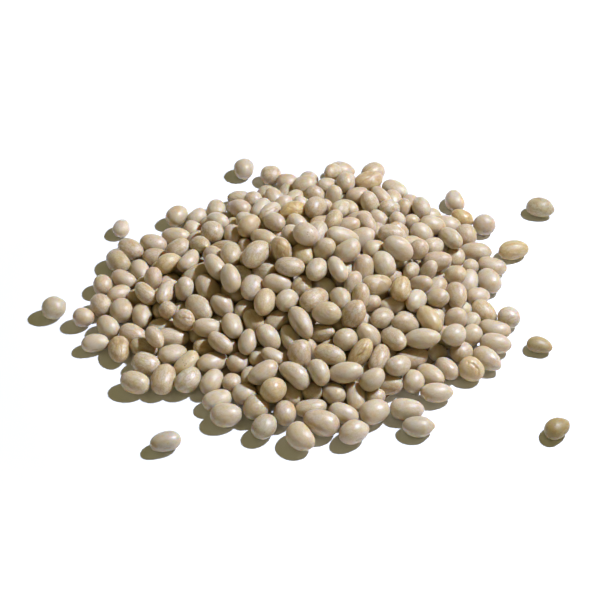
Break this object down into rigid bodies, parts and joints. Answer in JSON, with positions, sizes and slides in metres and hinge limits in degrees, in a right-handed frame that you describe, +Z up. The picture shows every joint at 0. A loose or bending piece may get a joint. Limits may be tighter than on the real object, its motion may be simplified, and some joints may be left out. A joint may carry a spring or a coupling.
{
  "type": "heap of small white beans",
  "caption": "Loose heap of dried small white beans poured out on a flat surface, low and uneven at the rim, with a few beans that rolled clear of it.",
  "frame": {"origin": "on the ground, under the middle of the heap, at the centre of its flat underside", "axes": "+Z up; +X to the right of the picture and -Y towards its camera"},
  "size_m": [0.1558, 0.1176, 0.0253],
  "materials": {
    "bean": "satin",
    "tan_bean": "satin"
  },
  "bodies": {
    "root": {"bean_heap": "bean", "stray_bean_1": "bean", "stray_bean_2": "bean", "stray_bean_3": "bean", "stray_bean_4": "bean", "stray_bean_5": "tan_bean", "stray_bean_6": "tan_bean", "stray_bean_7": "bean", "stray_bean_8": "bean", "stray_bean_9": "bean"}
  },
  "joints": []
}
